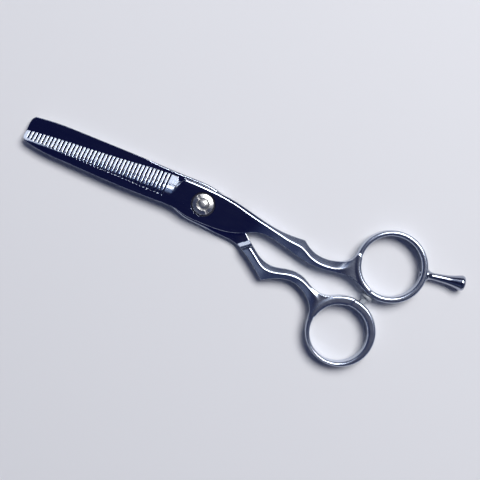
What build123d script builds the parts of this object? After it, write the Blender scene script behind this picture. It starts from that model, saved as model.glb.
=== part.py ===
from build123d import *
import os
from math import cos, radians, sin

# Thinning shears, six-inch size, with offset rings and a screwed-in finger rest.
#
# Frame, in millimetres: the origin is on the pivot axis at the level the shears lie on,
# +X runs from the pivot to the handles along the closed blades, +Y is the finger-ring side
# and +Z is up. The toothed half lies on top of the plain half.

# Levels above the table
MEET_Z = 2.9  # the plane in which the two halves slide on each other
HANDLE_TOP = 2 * MEET_Z  # both handles and rings are centred on that plane
SLIDE_GAP = 0.04  # from that plane to each half
TOP_FACE = 5.25  # outer face of the toothed half at the pivot
UNDER_FACE = 0.55  # outer face of the plain half at the pivot
ABOVE_ALL = 12.0  # clear of every part, for cutting
CUT_MARGIN = 1.0  # how far a cut starts outside the steel
TIP_X = -72.0  # just past the tip
TAPER_START_X = -8.0  # from here to the tip the blades get thinner
TIP_THINNING = 0.75

# Toothed edge
GAP_COUNT = 39  # between 40 teeth
TOOTH_PITCH = 1.379
TOOTH_GAP = 0.6
FIRST_GAP_X = -67.4  # beside the wide tooth at the tip
GAP_ROOTS = ((-67.4, -3.7), (-13.6, -2.6))
HOLLOW_START = ((TIP_X, -5.0), (-11.9, -3.05))  # on the back, where the hollow begins
HOLLOW_BEND = ((TIP_X, -4.2), (-11.9, 1.75))  # where it turns down to the tips
HOLLOW_END = ((TIP_X, -1.4), (-11.9, 5.75))  # at the tooth tips
HOLLOW_SLOPE = 0.4  # between the bend and the tips
TOOTH_TIP_TOP = 3.35
NOTCH_CENTRE = (-11.0, 5.2)  # relief between the last tooth and the pivot plate
NOTCH_RADIUS = 1.1
KNIFE_BEVEL = 2.4  # width of the plain blade's ground underside
KNIFE_EDGE_Y = -4.5
KNIFE_START_X = -13.0  # the ground edge runs from here to the tip
KNIFE_EDGE_THICKNESS = 0.35

# Handles and rings
SEAM_X = 24.0  # weld between each blade and its handle
PLATE_END_X = 14.0  # the flat outer faces round the pivot end here
FULL_DEPTH_X = 26.0  # and the handles reach their full depth here
SHANK_ROUND = 1.3
FINGER_CENTRE = (71.1, 7.05)
FINGER_RADIUS = 13.1
FINGER_BORE_CENTRE = (70.9, 7.1)
FINGER_BORE = 11.0
THUMB_CENTRE = (63.6, -21.6)
THUMB_RADIUS = 12.7
THUMB_BORE_CENTRE = (63.2, -22.4)
THUMB_BORE = 10.4
RING_ROUND = 0.85
BORE_ROUND = 0.35

# Steps where each half changes from a half-thick blade to a full-thick handle; the handle is
# on the right of each line
COMB_STEP = ((20.2, -2.0), (14.6, 5.2))
PLAIN_STEP = ((16.8, -8.2), (20.6, -4.9))
SCOOP_RADIUS = 3.0  # of the ground hollow in the plain half's step
SCOOP_WIDTH = 2.3

# Pivot, all on the Z axis
STUD_RADIUS = 2.0
STUD_FLATS = 3.3  # across the two flats that key the stud to the plain half
STUD_HEAD_RADIUS = 4.2
STUD_HEAD_TOP = 0.95
STUD_HEAD_CHAMFER = 0.25
STUD_THREAD_TOP = 5.55
STUD_TIP_RADIUS = 1.6
STUD_TIP_TOP = 6.2
STUD_TIP_DOME = 0.5
RUNNING_FIT = 0.05  # radial clearance of what turns
LOOSE_FIT = 0.1  # the same for washers and the spring
FACE_GAP = 0.02  # between faces that slide flat on each other
BUSH_RADIUS = 2.6
NUT_RADIUS = 3.85
NUT_BOTTOM = 4.92
NUT_TOP = 6.05
NUT_CROWN = 0.6
NUT_SLOT_WIDTH = 0.9
NUT_SLOT_DEPTH = 0.55
NUT_SLOT_ANGLE = 140
NUT_POCKET_RADIUS = 4.5
NUT_POCKET_FLOOR = 4.25
THRUST_WASHER_RADIUS = 4.35
THRUST_WASHER_TOP = 4.5
SPRING_RADIUS = 3.8
SPRING_THICKNESS = 0.18
LOCK_RING_RADIUS = 2.6
LOCK_RING_LEVELS = (5.05, 5.35)
WASHER_RADIUS = 4.3
WASHER_LEVELS = (2.7, 3.08)
WASHER_POCKET_RADIUS = 4.45

# Finger rest, on a line out of the finger ring's centre
REST_ANGLE = 10.7
REST_SEAT = 12.85  # from the ring's centre to the flat that the rest is screwed against
REST_STUD_RADIUS = 1.15
REST_STUD_LENGTH = 2.5  # through the ring's wall, its end showing inside the bore
REST_STUD_CHAMFER = 0.2
REST_FLANGE_RADIUS = 2.2
REST_FLANGE_THICKNESS = 0.45
REST_END_RADIUS = 2.75
REST_END_START = 12.9
REST_LENGTH = 14.8

# Bumper, on the line between the ring centres
BUMPER_RADIUS = 2.1
BUMPER_HEAD = 1.5
BUMPER_CROWN = 0.8
BUMPER_LIP = 0.3
BUMPER_STEM_RADIUS = 1.05
BUMPER_HOLE_DEPTH = 1.9
BUMPER_GAP = 0.04  # left to the finger ring when the shears are closed

ring_line = Vector(*FINGER_CENTRE) - Vector(*THUMB_CENTRE)
ring_spacing = ring_line.length
ring_way = ring_line.normalized()
bumper_top = ring_spacing - FINGER_RADIUS - BUMPER_GAP  # from the thumb ring's centre
turning_bore = STUD_RADIUS + RUNNING_FIT
washer_pocket_top = WASHER_LEVELS[1] + FACE_GAP
rest_way = Vector(cos(radians(REST_ANGLE)), sin(radians(REST_ANGLE)))


def line_y(ends, x):
    """The height at x of the straight line between two (x, y) points."""
    (x0, y0), (x1, y1) = ends
    return y0 + (y1 - y0) * (x - x0) / (x1 - x0)


def square_plane(centre, way, distance):
    """A plane square to a direction in the XY plane, this far from a ring's centre."""
    origin = Vector(centre[0], centre[1], MEET_Z) + way * distance
    return Plane(origin=origin, x_dir=(0, 0, 1), z_dir=way)


def step_plane(ends):
    """A plane square to a step line: its x points away from the pivot, its y points up."""
    start = Vector(*ends[0])
    along = (Vector(*ends[1]) - start).normalized()
    outward = Vector(along.Y, -along.X)
    return Plane(origin=start, x_dir=outward, z_dir=outward.cross(Vector(0, 0, 1)))


def curved_rims(part):
    """The curved outline edges of the lowest and the highest face."""
    faces = part.faces().sort_by(Axis.Z)
    rims = faces[0].edges() + faces[-1].edges()
    return rims.filter_by(lambda edge: edge.geom_type != GeomType.LINE)


def ring_disc(centre, radius):
    """A solid disc with rounded rims, from which the bore is cut once the shank is on it."""
    with BuildPart() as disc:
        with BuildSketch():
            with Locations(centre):
                Circle(radius)
        extrude(amount=HANDLE_TOP)
        fillet(disc.edges().filter_by(GeomType.CIRCLE), RING_ROUND)
    return disc.part


def bore_cutter(centre, radius):
    """The cylinder that is cut out of a ring."""
    with BuildPart() as cutter:
        with BuildSketch():
            with Locations(centre):
                Circle(radius)
        extrude(amount=HANDLE_TOP)
    return cutter.part


def taper_cutter(level, way):
    """The wedge that thins a blade's outer face towards the tip; way is +1 above, -1 below."""
    with BuildPart() as wedge:
        with BuildSketch(Plane.XZ):
            with BuildLine():
                Polyline((TAPER_START_X, level), (TIP_X, level - way * TIP_THINNING),
                         (TIP_X, level + way * ABOVE_ALL), (TAPER_START_X, level + way * ABOVE_ALL),
                         close=True)
            make_face()
        extrude(amount=ABOVE_ALL, both=True)
    return wedge.part


def ramp_cutter(level, way):
    """What is cut off a shank so that its outer face rises gently out of the pivot plate."""
    with BuildPart() as wedge:
        with BuildSketch(Plane.XZ):
            with BuildLine():
                Polyline((-ABOVE_ALL, level), (PLATE_END_X, level),
                         (FULL_DEPTH_X, level + way * UNDER_FACE),
                         (FULL_DEPTH_X, level + way * ABOVE_ALL),
                         (-ABOVE_ALL, level + way * ABOVE_ALL), close=True)
            make_face()
        extrude(amount=2 * ABOVE_ALL, both=True)
    return wedge.part


# ---- Toothed half: comb blade, shank and finger ring ----


def finger_shank():
    """The finger handle up to its ring, with a low spur, cut away under the pivot plate."""
    with BuildPart() as shank:
        with BuildSketch():
            with BuildLine():
                Spline((14.0, 5.1), (20, 3.95), (26, 2.95), (32, 2.6), (38.9, 3.1))
                Spline((38.9, 3.1), (41.5, 1.4), (44, 0.4), (48, 0.0), (53, 1.1), (57, 3.8), (58.1, 6.5))
                Polyline((58.1, 6.5), (66.0, 3.0), (67.5, -5.45))
                Spline((67.5, -5.45), (63, -3.5), (58.5, -2.3), (54, -2.8), (49, -3.7), (43, -3.9),
                       (35, -2.5), (29, -1.35), (24.5, -0.95), (18.6, -2.9))
                Line((18.6, -2.9), (14.0, 5.1))
            make_face()
        extrude(amount=HANDLE_TOP)
        fillet(curved_rims(shank), SHANK_ROUND)
        with BuildSketch(step_plane(COMB_STEP)):
            with Locations((-ABOVE_ALL, 0)):
                Rectangle(2 * ABOVE_ALL, 2 * (MEET_Z + SLIDE_GAP))
        extrude(amount=2 * ABOVE_ALL, both=True, mode=Mode.SUBTRACT)
        add(ramp_cutter(TOP_FACE, 1), mode=Mode.SUBTRACT)
    return shank.part


def comb_plate():
    """The flat of the toothed half: pivot plate, back and the stock of the teeth."""
    with BuildPart() as plate:
        with BuildSketch(Plane.XY.offset(MEET_Z + SLIDE_GAP)):
            with BuildLine():
                Spline((-69.1, -1.3), (-60, 0.05), (-50, 1.2), (-40, 2.3), (-30, 3.55), (-20, 4.85),
                       (-12.0, 5.5))
                Line((-12.0, 5.5), (-9.6, 5.9))
                Spline((-9.6, 5.9), (-4, 6.2), (4, 6.15), (10, 5.75), (16, 4.7), (20.4, 3.87))
                Line((20.4, 3.87), (20.9, -1.75))
                Spline((20.9, -1.75), (17, -3.7), (13, -5.2), (8, -6.1), (0, -6.45), (-5, -6.2),
                       (-8.5, -5.5), (-12, -5.4), (-20, -5.8), (-35, -6.3), (-52, -6.4), (-63, -6.05),
                       (-68, -5.2))
                ThreePointArc((-68.0, -5.2), (-68.95, -4.3), (-69.2, -3.2))
                Line((-69.2, -3.2), (-69.1, -1.3))
            make_face()
        extrude(amount=TOP_FACE - MEET_Z - SLIDE_GAP)
        add(taper_cutter(TOP_FACE, 1), mode=Mode.SUBTRACT)
        with Locations(NOTCH_CENTRE):
            Cylinder(NOTCH_RADIUS, 4 * ABOVE_ALL, mode=Mode.SUBTRACT)
    return plate.part


def hollow_cutter():
    """What is ground off over the teeth, from the back's flat down to the thin tips."""
    with BuildPart() as cutter:
        for x in (HOLLOW_START[0][0], HOLLOW_START[1][0]):
            face = TOP_FACE - TIP_THINNING * (TAPER_START_X - x) / (TAPER_START_X - TIP_X)
            start = line_y(HOLLOW_START, x)
            bend = line_y(HOLLOW_BEND, x)
            end = line_y(HOLLOW_END, x)
            with BuildSketch(Plane(origin=(x, 0, 0), x_dir=(0, 1, 0), z_dir=(1, 0, 0))):
                Polygon((start, face), (bend, TOOTH_TIP_TOP + HOLLOW_SLOPE * (end - bend)),
                        (end, TOOTH_TIP_TOP), (end + ABOVE_ALL, TOOTH_TIP_TOP),
                        (end + ABOVE_ALL, ABOVE_ALL), (start, ABOVE_ALL), align=None)
        loft(ruled=True)
    return cutter.part


def finger_half():
    """The toothed half in one: the comb blade ahead of the seam, the handle behind it."""
    with BuildPart() as half:
        add(comb_plate())
        add(hollow_cutter(), mode=Mode.SUBTRACT)
        for gap in range(GAP_COUNT):
            x = FIRST_GAP_X + gap * TOOTH_PITCH
            root = line_y(GAP_ROOTS, x)
            with BuildSketch():
                with Locations((x, root + ABOVE_ALL / 2)):
                    Rectangle(TOOTH_GAP, ABOVE_ALL)
                with Locations((x, root)):
                    Circle(TOOTH_GAP / 2)
            extrude(amount=ABOVE_ALL, mode=Mode.SUBTRACT)
        add(finger_shank())
        add(ring_disc(FINGER_CENTRE, FINGER_RADIUS))
        add(bore_cutter(FINGER_BORE_CENTRE, FINGER_BORE), mode=Mode.SUBTRACT)
        fillet(half.edges().filter_by(GeomType.CIRCLE).filter_by(
            lambda edge: abs(edge.radius - FINGER_BORE) < RUNNING_FIT), BORE_ROUND)
        with Locations((0, 0, NUT_POCKET_FLOOR)):
            Cylinder(NUT_POCKET_RADIUS, ABOVE_ALL, align=(Align.CENTER, Align.CENTER, Align.MIN),
                     mode=Mode.SUBTRACT)
        Cylinder(WASHER_POCKET_RADIUS, 2 * washer_pocket_top, mode=Mode.SUBTRACT)
        Cylinder(BUSH_RADIUS, 2 * ABOVE_ALL, mode=Mode.SUBTRACT)
        with BuildSketch(square_plane(FINGER_CENTRE, rest_way, REST_SEAT)):
            Circle(REST_STUD_RADIUS + RUNNING_FIT)
        extrude(amount=-2 * REST_STUD_LENGTH, mode=Mode.SUBTRACT)
        with BuildSketch(square_plane(FINGER_CENTRE, rest_way, REST_SEAT)):
            Circle(MEET_Z)
        extrude(amount=REST_STUD_LENGTH, mode=Mode.SUBTRACT)
    return half.part


# ---- Plain half: knife blade, shank and thumb ring ----


def thumb_shank():
    """The thumb handle up to its ring, with a deep spur, cut away over the pivot plate."""
    with BuildPart() as shank:
        with BuildSketch():
            with BuildLine():
                Spline((18.8, -3.6), (22.2, -6.2), (26, -8.75), (29, -9.95), (32, -10.2), (36, -9.35),
                       (40, -8.7), (44, -9.4), (48, -11.3), (52, -12.2), (56, -11.2), (60, -9.6),
                       (63.6, -9.0))
                Polyline((63.6, -9.0), (60.0, -16.0), (50.95, -21.6))
                Spline((50.95, -21.6), (50.2, -18.9), (48, -15.9), (44, -13.3), (40, -12.4),
                       (36, -13.2), (30, -16.5))
                Spline((30, -16.5), (25, -12.7), (20, -9.65), (16.2, -8.15))
                Line((16.2, -8.15), (18.8, -3.6))
            make_face()
        extrude(amount=HANDLE_TOP)
        fillet(curved_rims(shank), SHANK_ROUND)
        with BuildSketch(step_plane(PLAIN_STEP)):
            with BuildLine():
                Polyline((-2 * ABOVE_ALL, MEET_Z - SLIDE_GAP), (0, MEET_Z - SLIDE_GAP))
                RadiusArc((0, MEET_Z - SLIDE_GAP), (SCOOP_WIDTH, HANDLE_TOP), -SCOOP_RADIUS)
                Polyline((SCOOP_WIDTH, HANDLE_TOP), (-2 * ABOVE_ALL, HANDLE_TOP),
                         (-2 * ABOVE_ALL, MEET_Z - SLIDE_GAP))
            make_face()
        extrude(amount=2 * ABOVE_ALL, both=True, mode=Mode.SUBTRACT)
        add(ramp_cutter(UNDER_FACE, -1), mode=Mode.SUBTRACT)
    return shank.part


def plain_plate():
    """The flat of the plain half: the knife blade and the pivot plate under the toothed half."""
    with BuildPart() as plate:
        with BuildSketch(Plane.XY.offset(UNDER_FACE)):
            with BuildLine():
                Spline((-69.3, 1.0), (-68.9, 3.2), (-68.0, 4.35))
                Spline((-68.0, 4.35), (-61, 5.3), (-50, 5.9), (-36, 6.35), (-22, 6.75), (-8, 7.05),
                       (0, 7.1), (5, 6.1), (10, 3.9), (15, 0.0), (19.5, -4.2))
                Line((19.5, -4.2), (20.5, -9.7))
                Spline((20.5, -9.7), (16.8, -8.25), (10, -7.7), (2, -7.5), (-5, -7.0), (-9, -5.8),
                       (KNIFE_START_X, KNIFE_EDGE_Y))
                Line((KNIFE_START_X, KNIFE_EDGE_Y), (-68.2, KNIFE_EDGE_Y))
                Spline((-68.2, KNIFE_EDGE_Y), (-69.2, -2.0), (-69.3, 1.0))
            make_face()
        extrude(amount=MEET_Z - SLIDE_GAP - UNDER_FACE)
        add(taper_cutter(UNDER_FACE, -1), mode=Mode.SUBTRACT)
        edge_bottom = MEET_Z - SLIDE_GAP - KNIFE_EDGE_THICKNESS
        with BuildSketch(Plane(origin=(TIP_X, 0, 0), x_dir=(0, 1, 0), z_dir=(1, 0, 0))):
            Polygon((KNIFE_EDGE_Y - CUT_MARGIN, -CUT_MARGIN), (KNIFE_EDGE_Y + KNIFE_BEVEL, UNDER_FACE),
                    (KNIFE_EDGE_Y, edge_bottom), (KNIFE_EDGE_Y - CUT_MARGIN, edge_bottom), align=None)
        extrude(amount=KNIFE_START_X - TIP_X, mode=Mode.SUBTRACT)
    return plate.part


def thumb_half():
    """The plain half in one: the knife blade ahead of the seam, the handle behind it."""
    with BuildPart() as half:
        add(thumb_shank())
        add(plain_plate())
        add(ring_disc(THUMB_CENTRE, THUMB_RADIUS))
        add(bore_cutter(THUMB_BORE_CENTRE, THUMB_BORE), mode=Mode.SUBTRACT)
        fillet(half.edges().filter_by(GeomType.CIRCLE).filter_by(
            lambda edge: abs(edge.radius - THUMB_BORE) < RUNNING_FIT), BORE_ROUND)
        Cylinder(STUD_HEAD_RADIUS + RUNNING_FIT, 2 * STUD_HEAD_TOP, mode=Mode.SUBTRACT)
        with Locations((0, 0, WASHER_LEVELS[0])):
            Cylinder(WASHER_POCKET_RADIUS, ABOVE_ALL, align=(Align.CENTER, Align.CENTER, Align.MIN),
                     mode=Mode.SUBTRACT)
        with BuildSketch():
            Circle(STUD_RADIUS)
            Rectangle(STUD_FLATS, 2 * STUD_RADIUS, mode=Mode.INTERSECT)
        extrude(amount=ABOVE_ALL, mode=Mode.SUBTRACT)
        with BuildSketch(square_plane(THUMB_CENTRE, ring_way, THUMB_RADIUS - BUMPER_HOLE_DEPTH)):
            Circle(BUMPER_STEM_RADIUS)
        extrude(amount=ABOVE_ALL, mode=Mode.SUBTRACT)
    return half.part


def cut_at_seam(half, keep):
    """One side of a half, cut at the weld."""
    with BuildPart() as piece:
        add(half)
        split(bisect_by=Plane.YZ.offset(SEAM_X), keep=keep)
    return piece


toothed = finger_half()
plain = thumb_half()
pieces = {
    "comb_blade": cut_at_seam(toothed, Keep.BOTTOM),
    "finger_handle": cut_at_seam(toothed, Keep.TOP),
    "plain_blade": cut_at_seam(plain, Keep.BOTTOM),
    "thumb_handle": cut_at_seam(plain, Keep.TOP),
}

# ---- Finger rest: threaded stud, flange, waisted stem and flared, domed end ----

with BuildPart() as finger_rest:
    with BuildSketch(Plane.XZ):
        with BuildLine():
            Polyline((0, -REST_STUD_LENGTH), (REST_STUD_RADIUS - REST_STUD_CHAMFER, -REST_STUD_LENGTH),
                     (REST_STUD_RADIUS, -REST_STUD_LENGTH + REST_STUD_CHAMFER), (REST_STUD_RADIUS, 0),
                     (REST_FLANGE_RADIUS, 0), (REST_FLANGE_RADIUS, REST_FLANGE_THICKNESS))
            Spline((REST_FLANGE_RADIUS, REST_FLANGE_THICKNESS), (1.5, 1.6), (1.35, 4.0), (1.75, 8.6),
                   (REST_END_RADIUS, REST_END_START))
            Spline((REST_END_RADIUS, REST_END_START), (2.6, 13.9), (1.6, 14.5), (0, REST_LENGTH))
            Line((0, REST_LENGTH), (0, -REST_STUD_LENGTH))
        make_face()
    revolve(axis=Axis.Z)
pieces["finger_rest"] = finger_rest

# ---- Bumper: a stem pressed into the thumb ring under a mushroom head ----

with BuildPart() as bumper:
    with BuildSketch(Plane.XY.offset(THUMB_RADIUS - BUMPER_HOLE_DEPTH)):
        Circle(BUMPER_STEM_RADIUS)
    extrude(amount=bumper_top - BUMPER_HEAD - THUMB_RADIUS + BUMPER_HOLE_DEPTH)
    with BuildSketch(Plane.XY.offset(bumper_top - BUMPER_HEAD)):
        Circle(BUMPER_RADIUS)
    extrude(amount=BUMPER_HEAD)
    rims = bumper.edges().filter_by(GeomType.CIRCLE)
    rims = rims.filter_by(lambda edge: edge.radius > BUMPER_RADIUS - BUMPER_LIP)
    fillet(rims.sort_by(Axis.Z)[0], BUMPER_LIP)
    fillet(bumper.edges().group_by(Axis.Z)[-1], BUMPER_CROWN)
pieces["bumper"] = bumper

# ---- Pivot: keyed stud, bush, washers, spring and the slotted tension nut ----

with BuildPart() as pivot_stud:
    Cylinder(STUD_HEAD_RADIUS, STUD_HEAD_TOP, align=(Align.CENTER, Align.CENTER, Align.MIN))
    chamfer(pivot_stud.edges().group_by(Axis.Z)[0], STUD_HEAD_CHAMFER)
    with BuildSketch(Plane.XY.offset(STUD_HEAD_TOP)):
        Circle(STUD_RADIUS)
        Rectangle(STUD_FLATS, 2 * STUD_RADIUS, mode=Mode.INTERSECT)
    extrude(amount=WASHER_LEVELS[0] - STUD_HEAD_TOP)
    with BuildSketch(Plane.XY.offset(WASHER_LEVELS[0])):
        Circle(STUD_RADIUS)
    extrude(amount=STUD_THREAD_TOP - WASHER_LEVELS[0])
    with BuildSketch(Plane.XY.offset(STUD_THREAD_TOP)):
        Circle(STUD_TIP_RADIUS)
    extrude(amount=STUD_TIP_TOP - STUD_THREAD_TOP)
    fillet(pivot_stud.edges().group_by(Axis.Z)[-1], STUD_TIP_DOME)
pieces["pivot_stud"] = pivot_stud


def flat_ring(outer, inner, low, high):
    """A plain washer or sleeve on the pivot axis."""
    with BuildPart() as washer:
        with BuildSketch(Plane.XY.offset(low)):
            Circle(outer)
            Circle(inner, mode=Mode.SUBTRACT)
        extrude(amount=high - low)
    return washer


pieces["friction_washer"] = flat_ring(WASHER_RADIUS, turning_bore + RUNNING_FIT, *WASHER_LEVELS)
pieces["pivot_bush"] = flat_ring(BUSH_RADIUS, turning_bore, washer_pocket_top, NUT_POCKET_FLOOR)
pieces["thrust_washer"] = flat_ring(THRUST_WASHER_RADIUS, turning_bore + LOOSE_FIT,
                                    NUT_POCKET_FLOOR, THRUST_WASHER_TOP)
pieces["nut_lock_ring"] = flat_ring(LOCK_RING_RADIUS, turning_bore, *LOCK_RING_LEVELS)

with BuildPart() as cone_spring:
    with BuildSketch(Plane.XZ):
        inner = turning_bore + LOOSE_FIT
        top = NUT_BOTTOM - FACE_GAP
        Polygon((SPRING_RADIUS, THRUST_WASHER_TOP),
                (SPRING_RADIUS, THRUST_WASHER_TOP + SPRING_THICKNESS),
                (inner, top), (inner, top - SPRING_THICKNESS), align=None)
    revolve(axis=Axis.Z)
pieces["cone_spring"] = cone_spring

with BuildPart() as tension_nut:
    with BuildSketch(Plane.XY.offset(NUT_BOTTOM)):
        Circle(NUT_RADIUS)
        Circle(turning_bore, mode=Mode.SUBTRACT)
    extrude(amount=NUT_TOP - NUT_BOTTOM)
    top_edges = tension_nut.edges().group_by(Axis.Z)[-1]
    fillet(top_edges.filter_by(lambda edge: edge.radius > turning_bore + LOOSE_FIT), NUT_CROWN)
    with BuildSketch(Plane.XY.offset(NUT_TOP)):
        with Locations(Location((0, 0, 0), (0, 0, NUT_SLOT_ANGLE))):
            Rectangle(3 * NUT_RADIUS, NUT_SLOT_WIDTH)
    extrude(amount=-NUT_SLOT_DEPTH, mode=Mode.SUBTRACT)
    with BuildSketch(Plane.XY.offset(LOCK_RING_LEVELS[0])):
        Circle(LOCK_RING_RADIUS)
    extrude(amount=LOCK_RING_LEVELS[1] - LOCK_RING_LEVELS[0], mode=Mode.SUBTRACT)
pieces["tension_nut"] = tension_nut

# The rest and the bumper are turned on the Z axis and then laid on their own lines.
pieces["finger_rest"].part.locate(square_plane(FINGER_CENTRE, rest_way, REST_SEAT).location)
pieces["bumper"].part.locate(square_plane(THUMB_CENTRE, ring_way, 0).location)

os.makedirs("parts", exist_ok=True)
for name, piece in pieces.items():
    piece.part.label = name
    export_step(piece.part, f"parts/{name}.step")
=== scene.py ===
import math

import bpy
import numpy as np
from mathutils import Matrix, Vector


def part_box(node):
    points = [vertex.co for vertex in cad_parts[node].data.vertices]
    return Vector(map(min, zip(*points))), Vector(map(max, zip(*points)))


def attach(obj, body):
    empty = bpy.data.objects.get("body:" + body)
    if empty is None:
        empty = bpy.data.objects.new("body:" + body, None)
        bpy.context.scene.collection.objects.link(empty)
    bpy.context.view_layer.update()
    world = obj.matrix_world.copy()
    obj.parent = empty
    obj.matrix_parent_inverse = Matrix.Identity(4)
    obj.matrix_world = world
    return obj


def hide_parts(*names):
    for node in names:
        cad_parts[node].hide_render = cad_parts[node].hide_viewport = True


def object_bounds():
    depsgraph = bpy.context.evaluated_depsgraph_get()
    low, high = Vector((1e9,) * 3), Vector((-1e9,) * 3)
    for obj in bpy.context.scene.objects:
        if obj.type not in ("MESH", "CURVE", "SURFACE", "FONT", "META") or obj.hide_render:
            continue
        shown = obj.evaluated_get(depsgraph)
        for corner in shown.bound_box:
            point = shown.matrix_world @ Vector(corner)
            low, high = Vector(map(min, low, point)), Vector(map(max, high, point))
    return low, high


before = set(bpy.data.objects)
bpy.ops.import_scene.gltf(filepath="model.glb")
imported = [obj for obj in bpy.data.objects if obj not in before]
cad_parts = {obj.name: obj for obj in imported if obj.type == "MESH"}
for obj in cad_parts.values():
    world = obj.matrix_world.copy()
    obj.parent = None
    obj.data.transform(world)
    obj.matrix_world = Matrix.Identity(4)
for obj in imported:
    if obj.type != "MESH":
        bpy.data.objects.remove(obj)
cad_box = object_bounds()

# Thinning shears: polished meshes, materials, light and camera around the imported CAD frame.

MM = 0.001

# Levels of the CAD frame, in millimetres
BOX_LOW, BOX_HIGH = (np.array(corner) / MM for corner in cad_box)
HANDLE_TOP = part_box("finger_handle")[1][2] / MM
MEET = HANDLE_TOP / 2
SLIDE_GAP = 0.04  # from the meeting plane to each half
TOP_FACE = 5.25  # outer face of the toothed half at the pivot
UNDER_FACE = 0.55  # outer face of the plain half at the pivot
TAPER_START_X, TAPER_LENGTH, TIP_THINNING = -8, 64, 0.75  # both blades get thinner towards the tip

# Plan of the toothed half: tooth tips, pivot plate, shank, then back along the lower edge
TOOTH_TIPS = [(-69.1, -1.3), (-60, 0.05), (-50, 1.2), (-40, 2.3), (-30, 3.55), (-20, 4.85), (-12.0, 5.5)]
PLATE_UPPER = [(-9.7, 5.9), (-4, 6.2), (4, 6.15), (10, 5.75), (14.0, 5.1), (20, 3.95), (26, 2.95),
               (32, 2.6), (38.9, 3.1)]
FINGER_OUTER = [(38.9, 3.1), (41.5, 1.4), (44, 0.4), (48, 0.0), (53, 1.1), (57, 3.8), (58.1, 6.5)]
FINGER_INNER = [(67.5, -5.45), (63, -3.5), (58.5, -2.3), (54, -2.8), (49, -3.7), (43, -3.9),
                (35, -2.5), (29, -1.35), (24.5, -0.95), (20.9, -1.75), (17, -3.7), (13, -5.2), (8, -6.1),
                (0, -6.45), (-5, -6.2), (-8.5, -5.5), (-12, -5.4), (-20, -5.8), (-35, -6.3),
                (-52, -6.4), (-63, -6.05), (-68, -5.2)]
COMB_NOSE = [(-68.0, -5.2), (-68.95, -4.3), (-69.2, -3.2), (-69.1, -1.3)]
FINGER_RIDGE = [(-12, 5.35), (-4, 5.55), (4, 5.35), (12, 4.45), (18, 3.2), (24, 2.15), (30, 1.1),
                (36, 0.4), (39, 0.1), (42, -1.3), (46, -2.4), (50, -2.35),
                (54, -1.35), (57, 0.9), (58.8, 5.0), (59.1, 9.0)]

# Plan of the plain half
KNIFE_TIP = [(-68.2, -4.5), (-69.2, -2.0), (-69.3, 1.0), (-68.9, 3.2), (-68.0, 4.35)]
KNIFE_SPINE = [(-68.0, 4.35), (-61, 5.3), (-50, 5.9), (-36, 6.35), (-22, 6.75), (-8, 7.05), (0, 7.1),
               (5, 6.1), (10, 3.9), (15, 0.0), (18.8, -3.6), (22.2, -6.2), (26, -8.75), (29, -9.95),
               (32, -10.2), (36, -9.35), (40, -8.7), (44, -9.4), (48, -11.3), (52, -12.2), (56, -11.2),
               (60, -9.6), (63.6, -9.0)]
THUMB_OUTER = [(50.95, -21.6), (50.2, -18.9), (48, -15.9), (44, -13.3), (40, -12.4), (36, -13.2),
               (30, -16.5)]
KNIFE_HEEL = [(30, -16.5), (25, -12.7), (20, -9.65), (16.2, -8.15), (10, -7.7), (2, -7.5), (-5, -7.0),
              (-9, -5.8), (-13, -4.5)]
THUMB_RIDGE = [(14, -3.0), (18, -5.6), (22.3, -8.0), (26, -10.5), (29, -12.1), (32, -12.3),
               (36, -11.3), (40, -10.4), (44, -10.8), (48, -12.5), (52, -15.2), (53, -20)]

FINGER_CENTRE, FINGER_RADIUS = (71.1, 7.05), 13.1
FINGER_BORE_CENTRE, FINGER_BORE = (70.9, 7.1), 11.0
THUMB_CENTRE, THUMB_RADIUS = (63.6, -21.6), 12.7
THUMB_BORE_CENTRE, THUMB_BORE = (63.2, -22.4), 10.4
# Each blade steps up to its handle's full depth across such a line
COMB_STEP = ((20.2, -2.0), (14.6, 5.2))
PLAIN_STEP = ((16.8, -8.2), (20.6, -4.9))

# The teeth, and the hollow ground into their outer face
TOOTH_PITCH, TOOTH_GAP, GAP_COUNT, FIRST_GAP = 1.379, 0.6, 39, -67.4
GAP_ROOTS = ((-67.4, -3.7), (-13.6, -2.6))
HOLLOW_START = ((-72.0, -5.0), (-11.9, -3.05))  # on the blade's back
HOLLOW_END = ((-72.0, -1.4), (-11.9, 5.75))  # at the tooth tips
TOOTH_TIP_TOP = 3.25
HOLLOW_SLOPE = 0.34
HOLLOW_EASE_START, HOLLOW_EASE = 3, 0.029  # past this depth the hollow's slope eases off
NOTCH_CENTRE, NOTCH_RADIUS = (-11.0, 5.2), 1.1
LAND_END, LAND_LEAN, LAND_MIDDLE_Y = (-11.0, -9.9), 0.24, 5.3  # the slanted foot of the pivot plate
BLADE_END_X = -9.0  # the pivot plate is on the handle's side of it

# Rounding of the upper rims
TOOTH_RIM, ROOT_RIM_EXTRA, BODY_RIM_EXTRA = 0.02, 0.05, 0.13
PLAIN_RIM = 0.17
BODY_RIM_START, LOWER_RIM_START = (-12, -8), (4.2, 4.8)
COMB_UNDER_RIM, PLAIN_UNDER_RIM = 0.1, 0.16

# Sharpening of the mesh at the gaps' and the pocket's upper edges
TOOTHED_END_X = -12
TIP_MARGIN = 0.2
GAP_REACH, POCKET_REACH, DEPTH_REACH = 0.1, 0.2, 0.19
EDGE_LEAN = 0.9
RISE_PROBE = 0.03

# Spans of x over which one shape turns into the next
PLATE_START = (-11.5, -9.5)
CREST_RISE = (11, 27)
FINGER_SLOPE_START, THUMB_SLOPE_START = (13, 30), (12, 27)
FINGER_RING_BLEND, THUMB_RING_BLEND = (51, 59), (46, 53)

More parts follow.
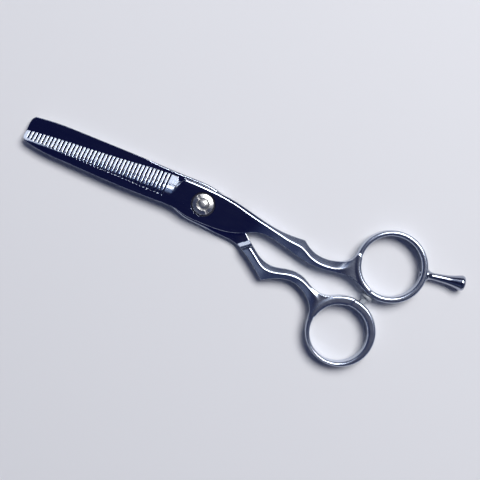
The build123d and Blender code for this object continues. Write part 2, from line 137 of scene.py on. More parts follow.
# Falls on the two sides of each handle's ridge, and how widely the ridge is rounded
PLATE_BEND, PLATE_FOOT_BEND, HANDLE_BEND = 0.13, 0.2, 0.19  # the last two are added at the ends
FINGER_OUTER_SLOPE, FINGER_INNER_SLOPE, FINGER_INNER_BEND = 0.7, 0.4, 0.3
THUMB_INNER_SLOPE, THUMB_OUTER_SLOPE, THUMB_BEND = 0.72, 0.42, 0.32

# The shoulder of the plain half: a shallow rise, then a concave one to the handle
SCOOP_SLOPE, SCOOP_FOOT, SCOOP_REACH = 0.4, 1.2, 1.6
SCOOP_END = 2.8

# The plain blade's chamfered spine by the pivot, and its ground edge underneath
SPINE_CHAMFER, SPINE_SLOPE = 0.45, 0.95
SPINE_END, SPINE_START = (8, 4), (-27, -20)
KNIFE_START = (-11.5, -13.5)
KNIFE_EDGE_Y, KNIFE_BEVEL, KNIFE_SLOPE = -4.5, 2.4, 0.75

# Round the pivot
POCKET_RADIUS, POCKET_FLOOR = 4.5, 4.25
RECESS_RADIUS = 4.45  # for the friction washer
RECESS_FLOOR, RECESS_TOP = 2.7, 3.1
BUSH_HOLE, STUD_HOLE = 2.6, 2.0
HEAD_RECESS_RADIUS, HEAD_RECESS_TOP = 4.25, 0.95
RING_ROUND, RING_FILLET = 0.92, 0.8


# ---- Shape fields, in millimetres; a field is below 0 inside the metal ----


BATCH = 3000  # places worked on together
REACH = 9.0  # how far a distance is looked for, more than any half width


def spline(points, spacing=0.35):
    """Dense points on the natural cubic spline through the given ones."""
    p = np.array(points, float)
    t = np.concatenate([[0], np.cumsum(np.linalg.norm(np.diff(p, axis=0), axis=1))])
    n, h = len(p), np.diff(t)
    system = np.eye(n)
    right = np.zeros((n, 2))
    for i in range(1, n - 1):
        system[i, i - 1 : i + 2] = h[i - 1], 2 * (h[i - 1] + h[i]), h[i]
        right[i] = 6 * ((p[i + 1] - p[i]) / h[i] - (p[i] - p[i - 1]) / h[i - 1])
    bend = np.linalg.solve(system, right)
    s = np.linspace(0, t[-1], max(2, int(t[-1] / spacing)))
    i = np.clip(np.searchsorted(t, s, side="right") - 1, 0, n - 2)
    a = ((t[i + 1] - s) / h[i])[:, None]
    b = ((s - t[i]) / h[i])[:, None]
    share = (h[i] ** 2 / 6)[:, None]
    return a * p[i] + b * p[i + 1] + ((a**3 - a) * bend[i] + (b**3 - b) * bend[i + 1]) * share


def windows(x, y, line):
    """Batches of places in order of x, each with the segments of a line that lie near it."""
    order = np.argsort(x, kind="stable")
    a, b = line[:-1], line[1:]
    left, right = np.minimum(a[:, 0], b[:, 0]), np.maximum(a[:, 0], b[:, 0])
    for k in range(0, x.size, BATCH):
        at = order[k : k + BATCH]
        near = (right > x[at[0]] - REACH) & (left < x[at[-1]] + REACH)
        if near.any():
            yield at, x[at, None], y[at, None], a[near], b[near]


def nearest(x, y, line):
    """Distance to a polyline, and whether the place is on its left; REACH or more counts as far."""
    distance, leftward = np.full(x.size, REACH), np.zeros(x.size, bool)
    for at, px, py, a, b in windows(x.ravel(), y.ravel(), line):
        d = b - a
        ox, oy = px - a[:, 0], py - a[:, 1]
        t = np.clip((ox * d[:, 0] + oy * d[:, 1]) / (d**2).sum(1), 0, 1)
        square = (ox - t * d[:, 0]) ** 2 + (oy - t * d[:, 1]) ** 2
        i = square.argmin(1)
        row = np.arange(len(i))
        distance[at] = np.sqrt(square[row, i])
        leftward[at] = d[i, 0] * oy[row, i] > d[i, 1] * ox[row, i]
    return distance.reshape(x.shape), leftward.reshape(x.shape)


def outline_field(x, y, loop):
    """Signed distance to a closed outline, below 0 inside."""
    closed = np.vstack([loop, loop[:1]])
    distance, _ = nearest(x, y, closed)
    inside = np.zeros(x.size, bool)
    for at, px, py, a, b in windows(x.ravel(), y.ravel(), closed):
        spans = (a[:, 0] > px) != (b[:, 0] > px)
        run = np.where(a[:, 0] == b[:, 0], 1, b[:, 0] - a[:, 0])
        above = py < a[:, 1] + (px - a[:, 0]) * (b[:, 1] - a[:, 1]) / run
        inside[at] = (spans & above).sum(1) % 2 == 1
    return np.where(inside.reshape(x.shape), -distance, distance)


def step(low, high, v):
    """A smooth rise from 0 at low to 1 at high."""
    t = np.clip((v - low) / (high - low), 0, 1)
    return t * t * (3 - 2 * t)


def round_max(a, b, r):
    """The larger of two fields, with the edge between them rounded to radius r."""
    return np.minimum(np.maximum(a, b), -r) + np.hypot(np.maximum(a + r, 0), np.maximum(b + r, 0))


def soft_min(a, b, r):
    """The smaller of two fields, filleted over about r."""
    h = np.maximum(r - np.abs(a - b), 0) / r
    return np.minimum(a, b) - h * h * r / 4


def soft_over(v, r):
    """v where it is above 0, else 0, with a rounded bend."""
    return (v + np.sqrt(v * v + r * r)) / 2


def line_y(ends, x):
    """Height in y of the straight line through two ends."""
    (x0, y0), (x1, y1) = ends
    return y0 + (y1 - y0) * (x - x0) / (x1 - x0)


def across(ends, x, y):
    """Distance past a step line, on the side away from the pivot."""
    (x0, y0), (x1, y1) = ends
    length = math.hypot(x1 - x0, y1 - y0)
    return ((x - x0) * (y1 - y0) - (y - y0) * (x1 - x0)) / length


def ring_field(x, y, z, centre, radius, bore_centre, bore):
    """A finger ring of rounded section with an off-centre bore."""
    outer = np.hypot(x - centre[0], y - centre[1]) - radius
    inner = bore - np.hypot(x - bore_centre[0], y - bore_centre[1])
    wall = round_max(outer, inner, 0.05)
    return round_max(wall, np.abs(z - MEET) - MEET, RING_ROUND)


toothed_loop = np.vstack([spline(TOOTH_TIPS), spline(PLATE_UPPER), spline(FINGER_OUTER)[1:], [(66.0, 3.0)],
                          spline(FINGER_INNER), spline(COMB_NOSE)[1:-1]])
plain_loop = np.vstack([spline(KNIFE_TIP), spline(KNIFE_SPINE)[1:], [(60.0, -16.0)], spline(THUMB_OUTER),
                        spline(KNIFE_HEEL)[1:]])
finger_ridge = spline(FINGER_RIDGE)
thumb_ridge = spline(THUMB_RIDGE)


def gap_centre(x):
    """The middle of the nearest gap between teeth."""
    return np.clip(np.round((x - FIRST_GAP) / TOOTH_PITCH), 0, GAP_COUNT - 1) * TOOTH_PITCH + FIRST_GAP


def tapered(level, x, way):
    """A blade face that nears the meeting plane towards the tip."""
    return level + way * TIP_THINNING * np.maximum(TAPER_START_X - x, 0) / TAPER_LENGTH


def toothed_plan(x, y):
    """What the toothed half's field needs at each place in plan: outline, top and underside."""
    edge = outline_field(x, y, toothed_loop)
    gap = gap_centre(x)
    past_root = np.minimum(y - line_y(GAP_ROOTS, gap), 0)
    edge = np.maximum(edge, TOOTH_GAP / 2 - np.hypot(x - gap, past_root))
    edge = np.maximum(edge, NOTCH_RADIUS - np.hypot(x - NOTCH_CENTRE[0], y - NOTCH_CENTRE[1]))
    distance, side = nearest(x, y, finger_ridge)
    outward = np.where(side, distance, -distance)
    handle = step(*FINGER_SLOPE_START, x)
    near_ring = 1 - step(*FINGER_RING_BLEND, x)
    crest = TOP_FACE + (HANDLE_TOP - TOP_FACE) * step(*CREST_RISE, x)
    ridge_bend = PLATE_BEND + PLATE_FOOT_BEND * step(7, 0, x) + HANDLE_BEND * step(14, 34, x)
    outer_drop = FINGER_OUTER_SLOPE * soft_over(outward, ridge_bend) * step(*PLATE_START, x)
    inner_drop = FINGER_INNER_SLOPE * handle * soft_over(-outward, FINGER_INNER_BEND)
    ridge_top = crest - (outer_drop + inner_drop) * near_ring
    blade = tapered(TOP_FACE, x, -1)
    from_tip = line_y(HOLLOW_END, x) - y
    ease = HOLLOW_EASE * np.maximum(from_tip - HOLLOW_EASE_START, 0) ** 2
    hollow = TOOTH_TIP_TOP + HOLLOW_SLOPE * from_tip - ease
    hollow = np.where(y > line_y(HOLLOW_START, x), np.minimum(blade, hollow), blade)
    hollow = hollow + (blade - hollow) * step(*LAND_END, x - LAND_LEAN * (y - LAND_MIDDLE_Y))
    top = np.where(x < BLADE_END_X, hollow, ridge_top)
    past = across(COMB_STEP, x, y)
    low = HANDLE_TOP - ridge_top
    under = MEET + SLIDE_GAP - (MEET + SLIDE_GAP - low) * step(-0.2, 1.6, past)
    return edge, top, under


def with_ring(body, x, y, z, centre, radius, bore_centre, bore):
    """A half with its finger ring joined on and the ring's bore kept open."""
    ring = ring_field(x, y, z, centre, radius, bore_centre, bore)
    opening = bore - np.hypot(x - bore_centre[0], y - bore_centre[1])
    return soft_min(round_max(body, opening, 0.5), ring, RING_FILLET)


def toothed_field(x, y, z, plan):
    """The toothed half; its tooth edges are the crispest."""
    edge, top, under = plan
    rooted = step(-0.1, 0.2, line_y(GAP_ROOTS, x) - y)
    body_rim = np.maximum(step(*BODY_RIM_START, x), step(*LOWER_RIM_START, -y))
    rim = TOOTH_RIM + ROOT_RIM_EXTRA * rooted + BODY_RIM_EXTRA * body_rim
    body = round_max(round_max(edge, z - top, rim), under - z, COMB_UNDER_RIM)
    solid = with_ring(body, x, y, z, FINGER_CENTRE, FINGER_RADIUS, FINGER_BORE_CENTRE, FINGER_BORE)
    axis = np.hypot(x, y)
    pocket = np.maximum(axis - POCKET_RADIUS, POCKET_FLOOR - z)
    washer = np.maximum(axis - RECESS_RADIUS, z - RECESS_TOP)
    hole = axis - BUSH_HOLE
    return round_max(np.maximum(solid, -np.minimum(washer, hole)), -pocket, 0.05)


def crisp_edges(points, normals):
    """Puts what lies next to the upper edges of the gaps and of the nut's pocket exactly on them.

    The normals of the gaps' edges lean into the gaps. That is shading only, and moves no point.
    """
    x, y, z = points.T
    top = toothed_plan(x, y)[1]
    gap = gap_centre(x)
    root = line_y(GAP_ROOTS, gap)
    gap_near = (x < TOOTHED_END_X) & (y < line_y(HOLLOW_END, x) - TIP_MARGIN) & (y > root)
    pocket = np.abs(x) < POCKET_RADIUS + 0.5
    for near, centre_x, centre_y, radius, reach, lean in (
            (gap_near, gap, y, TOOTH_GAP / 2, GAP_REACH, EDGE_LEAN),
            (pocket, 0 * x, 0 * y, POCKET_RADIUS, POCKET_REACH, 0.0)):
        away_x, away_y = x - centre_x, y - centre_y
        distance = np.maximum(np.hypot(away_x, away_y), 1e-6)
        on = near & (np.abs(distance - radius) < reach) & (z > top - DEPTH_REACH)
        points[on, 0] = (centre_x + away_x / distance * radius)[on]
        points[on, 1] = (centre_y + away_y / distance * radius)[on]
        px, py = points[on, 0], points[on, 1]
        level = toothed_plan(px, py)[1]
        points[on, 2] = level
        rise_x = (toothed_plan(px + RISE_PROBE, py)[1] - level) / RISE_PROBE
        rise_y = (toothed_plan(px, py + RISE_PROBE)[1] - level) / RISE_PROBE
        into = -lean * np.stack([away_x, away_y], axis=1)[on] / distance[on, None]
        up = np.stack([into[:, 0] - rise_x, into[:, 1] - rise_y, np.ones(len(px))], axis=1)
        normals[on] = up / np.linalg.norm(up, axis=1)[:, None]


def plain_plan(x, y):
    """What the plain half's field needs at each place in plan: outline, top and underside."""
    edge = outline_field(x, y, plain_loop)
    distance, side = nearest(x, y, thumb_ridge)
    inward = np.where(side, distance, -distance)
    near_ring = 1 - step(*THUMB_RING_BLEND, x)
    inner_drop = THUMB_INNER_SLOPE * soft_over(inward, THUMB_BEND)
    outer_drop = THUMB_OUTER_SLOPE * soft_over(-inward, THUMB_BEND)
    drop = (inner_drop + outer_drop) * near_ring
    crest = HANDLE_TOP - drop
    past = across(PLAIN_STEP, x, y)
    chamfer = SPINE_CHAMFER * step(*SPINE_END, x) * step(*SPINE_START, x)
    flat = MEET - SLIDE_GAP - SPINE_SLOPE * soft_over(edge + chamfer, 0.1)
    bend = 1 - np.sqrt(1 - np.clip((past - SCOOP_FOOT) / SCOOP_REACH, 0, 1) ** 2)
    scoop = flat + SCOOP_SLOPE * past + (HANDLE_TOP - flat - SCOOP_SLOPE * SCOOP_END) * bend
    top = np.where(past > SCOOP_END, crest, np.minimum(scoop, crest))
    top = np.where(past < 0, flat, top)
    handle = step(*THUMB_SLOPE_START, x)
    bevel = KNIFE_SLOPE * np.maximum(KNIFE_EDGE_Y + KNIFE_BEVEL - y, 0) * step(*KNIFE_START, x)
    blade = tapered(UNDER_FACE, x, 1) + bevel
    under = blade * (1 - handle) + drop * handle
    return edge, top, under


def plain_field(x, y, z, plan):
    """The plain half."""
    edge, top, under = plan
    body = round_max(round_max(edge, z - top, PLAIN_RIM), under - z, PLAIN_UNDER_RIM)
    solid = with_ring(body, x, y, z, THUMB_CENTRE, THUMB_RADIUS, THUMB_BORE_CENTRE, THUMB_BORE)
    axis = np.hypot(x, y)
    washer = np.maximum(axis - RECESS_RADIUS, RECESS_FLOOR - z)
    head = np.maximum(axis - HEAD_RECESS_RADIUS, z - HEAD_RECESS_TOP)
    return np.maximum(solid, -np.minimum(np.minimum(washer, head), axis - STUD_HOLE))


# ---- Meshing a field ----


PROBE = 0.02  # step for measuring a field's slope
LEAST_SLOPE = 0.2
LONGEST_MOVE = 0.12


def grid_line(*spans):
    """Grid coordinates from (start, end, spacing) spans that follow each other."""
    parts = [np.arange(start, end, spacing) for start, end, spacing in spans]
    return np.concatenate(parts + [[spans[-1][1]]])


def surface(plan, field, xs, ys, zs):
    """Vertices, quads and normals of the field's zero surface, by surface nets."""
    gx, gy = np.meshgrid(xs, ys, indexing="ij")
    flat_plan = plan(gx, gy)
    values = np.stack([field(gx, gy, z, flat_plan) for z in zs], axis=2)
    inside = values < 0
    corners = [(i, j, k) for i in (0, 1) for j in (0, 1) for k in (0, 1)]

    def cell_view(a, i, j, k):
        n = a.shape
        return a[i : n[0] - 1 + i, j : n[1] - 1 + j, k : n[2] - 1 + k]

    count = sum(cell_view(inside, *c).astype(np.int8) for c in corners)
    mixed = (count > 0) & (count < 8)
    ci, cj, ck = np.nonzero(mixed)
    index = -np.ones(mixed.shape, np.int64)
    index[ci, cj, ck] = np.arange(len(ci))
    total = np.zeros((len(ci), 3))
    hits = np.zeros(len(ci))
    lines = (xs, ys, zs)
    base = np.stack([ci, cj, ck], axis=1)
    for axis in range(3):
        for other in range(4):
            start = [0, 0, 0]
            start[(axis + 1) % 3] = other & 1
            start[(axis + 2) % 3] = other >> 1
            end = list(start)
            end[axis] = 1
            a, b = base + start, base + end
            va, vb = values[tuple(a.T)], values[tuple(b.T)]
            cut = (va < 0) != (vb < 0)
            share = np.where(cut, va / np.where(cut, va - vb, 1), 0)
            pa = np.stack([lines[d][a[:, d]] for d in range(3)], axis=1)
            pb = np.stack([lines[d][b[:, d]] for d in range(3)], axis=1)
            total += np.where(cut[:, None], pa + share[:, None] * (pb - pa), 0)
            hits += cut
    points = total / hits[:, None]
    quads = []
    for axis in range(3):
        u, v = (axis + 1) % 3, (axis + 2) % 3
        n = list(inside.shape)
        low = [slice(None)] * 3
        high = [slice(None)] * 3
        low[axis], high[axis] = slice(0, n[axis] - 1), slice(1, n[axis])
        for d in (u, v):
            low[d] = high[d] = slice(1, n[d] - 1)
        a, b = inside[tuple(low)], inside[tuple(high)]
        e = np.stack(np.nonzero(a != b), axis=1)
        flip = b[tuple(e.T)]
        e[:, u] += 1
        e[:, v] += 1
        du, dv = np.eye(3, dtype=int)[u], np.eye(3, dtype=int)[v]
        ring = np.stack([index[tuple((e - du - dv).T)], index[tuple((e - dv).T)], index[tuple(e.T)],
                         index[tuple((e - du).T)]], axis=1)
        quads.append(np.where(flip[:, None], ring[:, ::-1], ring))
    for turn in range(3):
        x, y, z = points.T
        at = plan(x, y)
        f = field(x, y, z, at)
        slope = np.stack([
            (field(x + PROBE, y, z, plan(x + PROBE, y)) - f) / PROBE,
            (field(x, y + PROBE, z, plan(x, y + PROBE)) - f) / PROBE,
            (field(x, y, z + PROBE, at) - f) / PROBE,
        ], axis=1)
        size = np.maximum(np.linalg.norm(slope, axis=1), LEAST_SLOPE)
        if turn < 2:
            move = -(f / size**2)[:, None] * slope
            reach = np.maximum(np.linalg.norm(move, axis=1) / LONGEST_MOVE, 1)
            points = points + move / reach[:, None]
    return np.clip(points, BOX_LOW, BOX_HIGH), np.vstack(quads), slope / size[:, None]


def place_piece(name, mesh, material, body, replaced):
    """An object for a finished mesh, which stands for CAD nodes and rides on a body."""
    obj = bpy.data.objects.new(name, mesh)
    bpy.context.collection.objects.link(obj)
    mesh.materials.append(material)
    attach(obj, body)
    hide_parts(*replaced)


def add_mesh(name, points, faces, normals, material, body, replaced):
    """A smooth piece from points in millimetres."""
    mesh = bpy.data.meshes.new(name)
    mesh.from_pydata((points * MM).tolist(), [], faces.tolist())
    mesh.update()
    mesh.shade_smooth()
    mesh.normals_split_custom_set_from_vertices(normals.tolist())
    place_piece(name, mesh, material, body, replaced)


TURNED_SIDES = 96
LEAST_RADIUS = 0.004  # where a profile meets its axis
SHARP_ANGLE = 38


def turned(name, profile, plane, material, body, node):
    """A piece turned from (radius, height) points about an axis from a place along a direction."""
    place, way = Vector(plane[0]), Vector(plane[1]).normalized()
    turn = way.to_track_quat("Z", "Y").to_matrix()
    sides = TURNED_SIDES
    rows = []
    for radius, height in profile:
        r = max(radius, LEAST_RADIUS)
        for k in range(sides):
            a = 2 * math.pi * k / sides
            rows.append(place + turn @ Vector((r * math.cos(a), r * math.sin(a), height)))
    faces = [tuple(reversed(range(sides)))]
    for row in range(len(profile) - 1):
        for k in range(sides):
            a, b = row * sides + k, row * sides + (k + 1) % sides
            faces.append((a, b, b + sides, a + sides))
    faces.append(tuple(range((len(profile) - 1) * sides, len(profile) * sides)))
    mesh = bpy.data.meshes.new(name)
    mesh.from_pydata([v * MM for v in rows], [], faces)
    mesh.update()
    mesh.shade_smooth()
    mesh.set_sharp_from_angle(angle=math.radians(SHARP_ANGLE))
    place_piece(name, mesh, material, body, (node,))


def rounded(points, radius, parts=6):
    """A profile with its inner corners rounded by small arcs."""
    out = [points[0]]
    for before, corner, after in zip(points, points[1:], points[2:]):
        p, c, n = (np.array(v, float) for v in (before, corner, after))
        reach = min(radius, np.linalg.norm(p - c) * 0.45, np.linalg.norm(n - c) * 0.45)
        start = c + (p - c) / np.linalg.norm(p - c) * reach
        end = c + (n - c) / np.linalg.norm(n - c) * reach
        for k in range(parts + 1):
            t = k / parts
            out.append(tuple((1 - t) ** 2 * start + 2 * t * (1 - t) * c + t * t * end))
    return out + [points[-1]]


# ---- Materials ----


def new_material(name):
    """A node material with its nodes, its links and its shader's sockets."""
    mat = bpy.data.materials.new(name)
    mat.use_nodes = True
    tree = mat.node_tree
    return mat, tree.nodes, tree.links, tree.nodes["Principled BSDF"].inputs


def noise(nodes, links, vector, scale, detail):
    """The strength of a noise pattern read along a vector."""
    pattern = nodes.new("ShaderNodeTexNoise")
    pattern.inputs["Scale"].default_value = scale
    pattern.inputs["Detail"].default_value = detail
    links.new(vector, pattern.inputs["Vector"])
    return pattern.outputs["Fac"]


def tinted(nodes, links, amount, colour, dark, light):
    """A colour that varies between a darker and a lighter one."""
    ramp = nodes.new("ShaderNodeValToRGB")
    ramp.color_ramp.elements[0].color = (*[c * dark for c in colour], 1)
    ramp.color_ramp.elements[1].color = (*[min(c * light, 1) for c in colour], 1)
    links.new(amount, ramp.inputs["Fac"])
    return ramp.outputs["Color"]


def ranged(nodes, links, amount, low, high, start=0.0, end=1.0):
    """An amount that runs from start to end, carried over to low to high."""
    span = nodes.new("ShaderNodeMapRange")
    span.inputs["From Min"].default_value = start
    span.inputs["From Max"].default_value = end
    span.inputs["To Min"].default_value = low
    span.inputs["To Max"].default_value = high
    links.new(amount, span.inputs["Value"])
    return span.outputs["Result"]


def bumped(nodes, links, height, strength, distance):
    """Normals raised by a height pattern; distance is in metres."""
    bump = nodes.new("ShaderNodeBump")
    bump.inputs["Strength"].default_value = strength
    bump.inputs["Distance"].default_value = distance
    links.new(height, bump.inputs["Height"])
    return bump.outputs["Normal"]


SATIN_START, SATIN_END = 0.016, 0.030  # metres along X, where the handles' duller polish sets in


def steel(name, colour, roughness, streaks, satin=None):
    """Polished steel: faint lengthwise polishing lines, cloudy colour, and handles duller by satin."""
    mat, nodes, links, shader = new_material(name)
    shader["Metallic"].default_value = 1.0
    coords = nodes.new("ShaderNodeTexCoord")
    stretch = nodes.new("ShaderNodeMapping")
    stretch.inputs["Scale"].default_value = streaks
    links.new(coords.outputs["Object"], stretch.inputs["Vector"])
    lines = noise(nodes, links, stretch.outputs["Vector"], 1.0, 4.0)
    cloud = noise(nodes, links, coords.outputs["Object"], 90.0, 3.0)
    links.new(tinted(nodes, links, cloud, colour, 0.9, 1.08), shader["Base Color"])
    gloss = ranged(nodes, links, lines, roughness * 0.7, roughness * 1.4)
    if satin is not None:
        split = nodes.new("ShaderNodeSeparateXYZ")
        links.new(coords.outputs["Object"], split.inputs["Vector"])
        duller = ranged(nodes, links, split.outputs["X"], 0.0, satin, SATIN_START, SATIN_END)
        both = nodes.new("ShaderNodeMath")
        links.new(gloss, both.inputs[0])
        links.new(duller, both.inputs[1])
        gloss = both.outputs["Value"]
    links.new(gloss, shader["Roughness"])
    links.new(bumped(nodes, links, lines, 0.06, 0.00003), shader["Normal"])
    return mat


def plain_material(name, colour, roughness, grain_scale, **sockets):
    """A material with fine surface grain; sockets sets the shader's own inputs."""
    mat, nodes, links, shader = new_material(name)
    for socket, value in sockets.items():
        shader[socket.replace("_", " ")].default_value = value
    coords = nodes.new("ShaderNodeTexCoord")
    grain = noise(nodes, links, coords.outputs["Object"], grain_scale, 3.0)
    links.new(tinted(nodes, links, grain, colour, 0.88, 1.06), shader["Base Color"])
    links.new(ranged(nodes, links, grain, roughness * 0.8, roughness * 1.25), shader["Roughness"])
    links.new(bumped(nodes, links, grain, 0.1, 0.00005), shader["Normal"])
    return mat


LENGTHWISE = (150, 2500, 2500)
EVEN = (900, 900, 900)
blade_steel = steel("polished_blade_steel", (0.50, 0.55, 0.66), 0.11, LENGTHWISE, 0.13)
fitting_steel = steel("turned_steel", (0.66, 0.65, 0.64), 0.3, EVEN)
nut_steel = steel("nut_steel", (0.72, 0.71, 0.69), 0.26, EVEN)
# Near-black steel: painted shade that darkens the ring of pocket round the nut, where shadow falls.
spring_steel_painted_shade = steel("spring_steel_painted_shade", (0.07, 0.07, 0.09), 0.35, EVEN)
rest_steel = steel("rest_steel", (0.38, 0.41, 0.5), 0.16, EVEN)
clear_plastic = plain_material("clear_plastic", (0.58, 0.61, 0.65), 0.15, 800,
                               Transmission_Weight=0.45, IOR=1.46)
nylon = plain_material("nylon", (0.8, 0.8, 0.76), 0.5, 3000)
brass = plain_material("brass", (0.72, 0.52, 0.24), 0.25, 2000, Metallic=1.0)


# ---- The two halves ----


HEIGHTS = grid_line((-0.3, 6.3, 0.22))


def make_half(name, shape, body, nodes, xs, ys, sharpen=None):
    """One half as a single mesh, because its weld is polished flush."""
    points, quads, normals = surface(*shape, xs, ys, HEIGHTS)
    if sharpen:
        sharpen(points, normals)
    add_mesh(name, points, quads, normals, blade_steel, body, nodes)


comb_xs = grid_line((FIRST_GAP - 1.75 * TOOTH_PITCH, -10.0, TOOTH_PITCH / 10), (-10.0, 85.0, 0.26))
comb_ys = grid_line((-7.0, -4.2, 0.25), (-4.2, -2.4, 0.09), (-2.4, 20.8, 0.25))
make_half("toothed_half", (toothed_plan, toothed_field), "finger_half", ("comb_blade", "finger_handle"),
          comb_xs, comb_ys, crisp_edges)

plain_xs = grid_line((-69.9, 77.0, 0.26))
plain_ys = grid_line((-35.0, 5.6, 0.25), (5.6, 7.8, 0.11))
make_half("plain_half", (plain_plan, plain_field), "thumb_half", ("plain_blade", "thumb_handle"),
          plain_xs, plain_ys)


# ---- The fittings ----


REST_ANGLE = math.radians(10.7)
REST_SEAT = 12.85  # from the ring's centre to the rest's shoulder
rest_way = (math.cos(REST_ANGLE), math.sin(REST_ANGLE), 0)
rest_seat = (FINGER_CENTRE[0] + REST_SEAT * rest_way[0], FINGER_CENTRE[1] + REST_SEAT * rest_way[1], MEET)
rest_profile = rounded([(0, -2.5), (0.95, -2.5), (1.15, -2.3), (1.15, 0), (2.2, 0), (2.2, 0.45)], 0.12)
rest_profile += [tuple(p) for p in spline([(2.2, 0.5), (1.5, 1.6), (1.35, 4.0), (1.75, 8.6), (2.75, 12.9)])]
rest_profile += [tuple(p) for p in spline([(2.78, 13.2), (2.55, 13.95), (1.5, 14.5), (0, 14.78)], 0.2)]
turned("finger_rest_turned", rest_profile, (rest_seat, rest_way), rest_steel, "rest", "finger_rest")

BUMPER_GAP = 0.04  # from the bumper to the finger ring when the shears are closed
bumper_way = Vector((FINGER_CENTRE[0] - THUMB_CENTRE[0], FINGER_CENTRE[1] - THUMB_CENTRE[1], 0))
bumper_top = bumper_way.length - FINGER_RADIUS - BUMPER_GAP
bumper_profile = [(0, 10.8), (1.05, 10.8), (1.05, bumper_top - 1.5), (2.1, bumper_top - 1.5),
                  (2.1, bumper_top - 0.55), (1.2, bumper_top), (0, bumper_top)]
turned("bumper_moulded", rounded(bumper_profile, 0.4), ((*THUMB_CENTRE, MEET), bumper_way), clear_plastic,
       "thumb_half", "bumper")

stud_profile = [(0, 0), (4.2, 0), (4.2, 0.95), (2.0, 0.95), (2.0, 5.45), (1.6, 5.55), (1.6, 5.85),
                (0.9, 6.17), (0, 6.2)]
turned("pivot_stud_turned", rounded(stud_profile, 0.25), ((0, 0, 0), (0, 0, 1)), fitting_steel, "thumb_half",
       "pivot_stud")


NUT_RADIUS, NUT_BORE = 3.85, 2.05
NUT_UNDER, NUT_TOP = 4.92, 6.05
NUT_CONE_START, NUT_CONE_SLOPE = 2.45, 0.36
NUT_SLOT_ANGLE = math.radians(140)  # from +X
NUT_SLOT_HALF, NUT_SLOT_FLOOR = 0.45, 5.5


def nut_plan(x, y):
    """Distance from the nut's axis, and across its slot."""
    return np.hypot(x, y), y * math.cos(NUT_SLOT_ANGLE) - x * math.sin(NUT_SLOT_ANGLE)


def nut_field(x, y, z, plan):
    """The slotted ring nut with a coned top."""
    out, across_slot = plan
    top = z - (NUT_TOP - NUT_CONE_SLOPE * soft_over(out - NUT_CONE_START, 0.25))
    body = round_max(round_max(out - NUT_RADIUS, top, 0.16), NUT_UNDER - z, 0.1)
    body = round_max(body, NUT_BORE - out, 0.12)
    slot = np.maximum(np.abs(across_slot) - NUT_SLOT_HALF, NUT_SLOT_FLOOR - z)
    return round_max(body, -slot, 0.06)


nut_steps = grid_line((-4.05, 4.05, 0.09))
points, quads, normals = surface(nut_plan, nut_field, nut_steps, nut_steps, grid_line((4.8, 6.2, 0.08)))
add_mesh("tension_nut_turned", points, quads, normals, nut_steel, "nut", ("tension_nut",))

cad_looks = {
    # The thrust washer and cone spring take the near-black steel, which paints shade into the nut's pocket.
    "thrust_washer": spring_steel_painted_shade,
    "cone_spring": spring_steel_painted_shade,
    "friction_washer": nylon,
    "nut_lock_ring": nylon,
    "pivot_bush": brass,
}
for node, material in cad_looks.items():
    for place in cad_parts[node].material_slots:
        place.link = "OBJECT"
        place.material = material


# ---- Floor, light, camera ----


FLOOR_REACH = 4.0  # metres, far past every view's edge
FLOOR_COLOUR = (0.74, 0.738, 0.752, 1)
# Height of a direction above the horizon, as its Z, and the colour of the sky there
SKY = (
    (0.0, (0.42, 0.41, 0.42)),
    (0.06, (0.33, 0.33, 0.35)),
    (0.14, (0.025, 0.032, 0.07)),
    (0.6, (0.055, 0.072, 0.14)),
    (0.86, (0.028, 0.038, 0.10)),
    (0.95, (0.004, 0.006, 0.044)),
)
LIT_PLACE = (0.02, -0.006, 0)  # metres, where the lamps point
SENSOR_WIDTH = 36
VIEW_TURN = 24.0
VIEW_CENTRE = (0.01736, -0.00639)
VIEW_WIDTH = 0.1734
VIEW_HEIGHT = 0.34
VIEW_SHIFT = 0.1  # of the width; the camera stands this far above the middle and the lens is shifted back


def make_floor():
    """A plain pale floor at the level the shears lie on."""
    mesh = bpy.data.meshes.new("floor")
    r = FLOOR_REACH
    mesh.from_pydata([(-r, -r, 0), (r, -r, 0), (r, r, 0), (-r, r, 0)], [], [(0, 1, 2, 3)])
    floor = bpy.data.objects.new("floor", mesh)
    bpy.context.collection.objects.link(floor)
    mat, _, _, shader = new_material("pale_paper")
    shader["Base Color"].default_value = FLOOR_COLOUR
    shader["Roughness"].default_value = 0.9
    mesh.materials.append(mat)


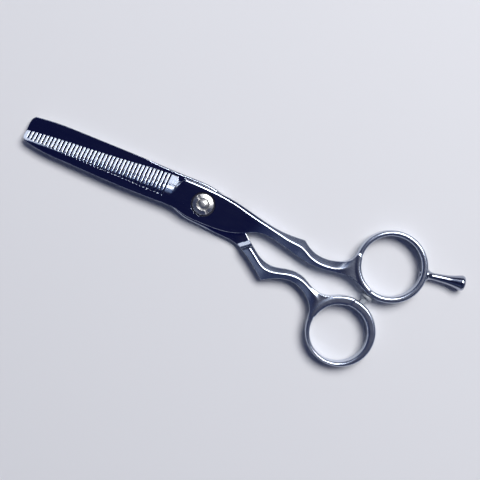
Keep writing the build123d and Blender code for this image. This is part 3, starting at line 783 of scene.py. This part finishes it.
def area_light(name, azimuth, tilt, distance, size, power, colour=(1, 1, 1)):
    """An area lamp seen from the shears at this compass angle and tilt from straight above."""
    a, t = math.radians(azimuth), math.radians(tilt)
    way = Vector((math.cos(a) * math.sin(t), math.sin(a) * math.sin(t), math.cos(t)))
    data = bpy.data.lights.new(name, "AREA")
    data.shape = "RECTANGLE"
    data.size, data.size_y = size
    data.energy = power
    data.color = colour
    lamp = bpy.data.objects.new(name, data)
    lamp.location = Vector(LIT_PLACE) + way * distance
    lamp.rotation_euler = way.to_track_quat("Z", "Y").to_euler()
    bpy.context.collection.objects.link(lamp)


def make_world():
    """A dark blue sky with a pale band at the horizon, which the polished steel mirrors."""
    world = bpy.data.worlds.new("studio")
    bpy.context.scene.world = world
    world.use_nodes = True
    nodes, links = world.node_tree.nodes, world.node_tree.links
    coords = nodes.new("ShaderNodeTexCoord")
    split = nodes.new("ShaderNodeSeparateXYZ")
    links.new(coords.outputs["Generated"], split.inputs["Vector"])
    ramp = nodes.new("ShaderNodeValToRGB")
    for height, _ in SKY[1:-1]:
        ramp.color_ramp.elements.new(height)
    for element, (height, colour) in zip(ramp.color_ramp.elements, SKY):
        element.position = height
        element.color = (*colour, 1)
    links.new(split.outputs["Z"], ramp.inputs["Fac"])
    links.new(ramp.outputs["Color"], nodes["Background"].inputs["Color"])
    nodes["Background"].inputs["Strength"].default_value = 1.0


def make_camera():
    """The camera, looking straight down with its picture turned."""
    data = bpy.data.cameras.new("camera")
    data.sensor_width = SENSOR_WIDTH
    data.lens = SENSOR_WIDTH * (VIEW_HEIGHT - MEET * MM) / VIEW_WIDTH
    data.shift_y = -VIEW_SHIFT
    camera = bpy.data.objects.new("camera", data)
    turn, rise = math.radians(VIEW_TURN), VIEW_SHIFT * VIEW_WIDTH
    across_view, along_view = VIEW_CENTRE[0] - math.sin(turn) * rise, VIEW_CENTRE[1] + math.cos(turn) * rise
    camera.location = (across_view, along_view, VIEW_HEIGHT)
    camera.rotation_euler = (0, 0, turn)
    bpy.context.collection.objects.link(camera)
    bpy.context.scene.camera = camera


bpy.context.scene.view_settings.view_transform = "Standard"
make_floor()
make_world()
area_light("key", 69, 33, 1.5, (0.9, 0.7), 24.3)
area_light("tooth_strip", 108, 40, 0.9, (1.0, 0.15), 0.58)
area_light("blue_panel", 98, 22, 1.0, (0.8, 0.28), 0.2, (0.42, 0.62, 1.0))
area_light("counter", 249, 46, 1.0, (0.5, 0.1), 0.05, (0.8, 0.88, 1.0))
make_camera()
